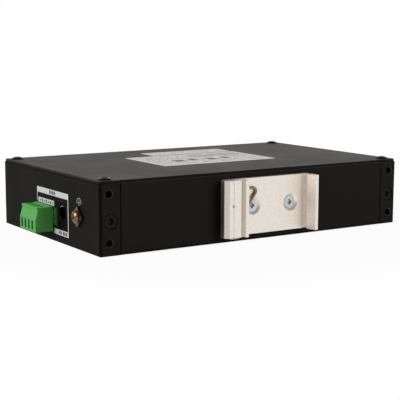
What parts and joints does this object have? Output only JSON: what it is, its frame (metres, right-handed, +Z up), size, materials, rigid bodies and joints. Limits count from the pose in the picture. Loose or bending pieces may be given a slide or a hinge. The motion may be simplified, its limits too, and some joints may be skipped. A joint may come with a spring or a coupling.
{
  "type": "din rail ethernet switch",
  "caption": "Flat steel box with network ports, a pluggable power terminal and an aluminium clip for a 35 mm rail.",
  "frame": {"origin": "centre of the box's underside", "axes": "+X along the long walls away from the power end, -Y out of the rear wall with the rail clip, +Z up through the cover"},
  "size_m": [0.164, 0.1056, 0.031],
  "materials": {
    "case_paint": "fine matte powder coat, near black",
    "cover_paint": "fine matte powder coat, warm mid grey",
    "black_steel": "black finished steel",
    "label_paper": "matte white label film",
    "clip_aluminium": "clear anodised extrusion",
    "spring_brass": "dull brass-brown spring wire",
    "zinc_steel": "bright zinc plate",
    "header_green": "moulded green",
    "plug_green": "moulded green, slight sheen",
    "contact_brass": "tinned copper alloy",
    "black_plastic": "moulded black",
    "earth_bronze": "yellow passivated steel",
    "washer_steel": "dull plated steel",
    "board_green": "solder mask over glass laminate",
    "shield_steel": "tinned sheet",
    "lamp_clear": "clear lamp window",
    "lamp_green": "tinted lamp",
    "chip_black": "black moulding compound",
    "sink_aluminium": "black anodised",
    "can_aluminium": "bare can"
  },
  "bodies": {
    "switch": {"chassis": "case_paint", "end_cap_left": "case_paint", "end_cap_right": "case_paint", "top_cover": "cover_paint", "cover_screws": "black_steel", "cap_screws": "black_steel", "rating_label": "label_paper", "serial_label": "label_paper", "din_clip": "clip_aluminium", "clip_spring": "spring_brass", "clip_screws": "zinc_steel", "clip_nuts": "zinc_steel", "terminal_header": "header_green", "header_pins": "contact_brass", "dc_jack": "black_plastic", "dc_jack_pin": "contact_brass", "dc_jack_spring": "contact_brass", "ground_screw": "earth_bronze", "ground_washer": "washer_steel", "ground_nut": "zinc_steel", "circuit_board": "board_green", "board_standoffs": "zinc_steel", "board_screws": "zinc_steel", "port_block_left": "black_plastic", "port_block_right": "black_plastic", "port_shields": "shield_steel", "port_contacts": "contact_brass", "port_leds": "lamp_clear", "status_leds": "lamp_green", "switch_chip": "chip_black", "heat_sink": "sink_aluminium", "magnetics": "chip_black", "capacitors": "can_aluminium", "inductor": "chip_black", "crystal": "shield_steel"},
    "plug": {"terminal_plug": "plug_green", "plug_screws": "zinc_steel", "wire_clamps": "contact_brass", "plug_contacts": "contact_brass"}
  },
  "joints": [
    {"name": "plug_pull", "type": "slide", "parent": "switch", "child": "plug", "axis": [-1, 0, 0], "range_m": [0, 0.008]}
  ]
}
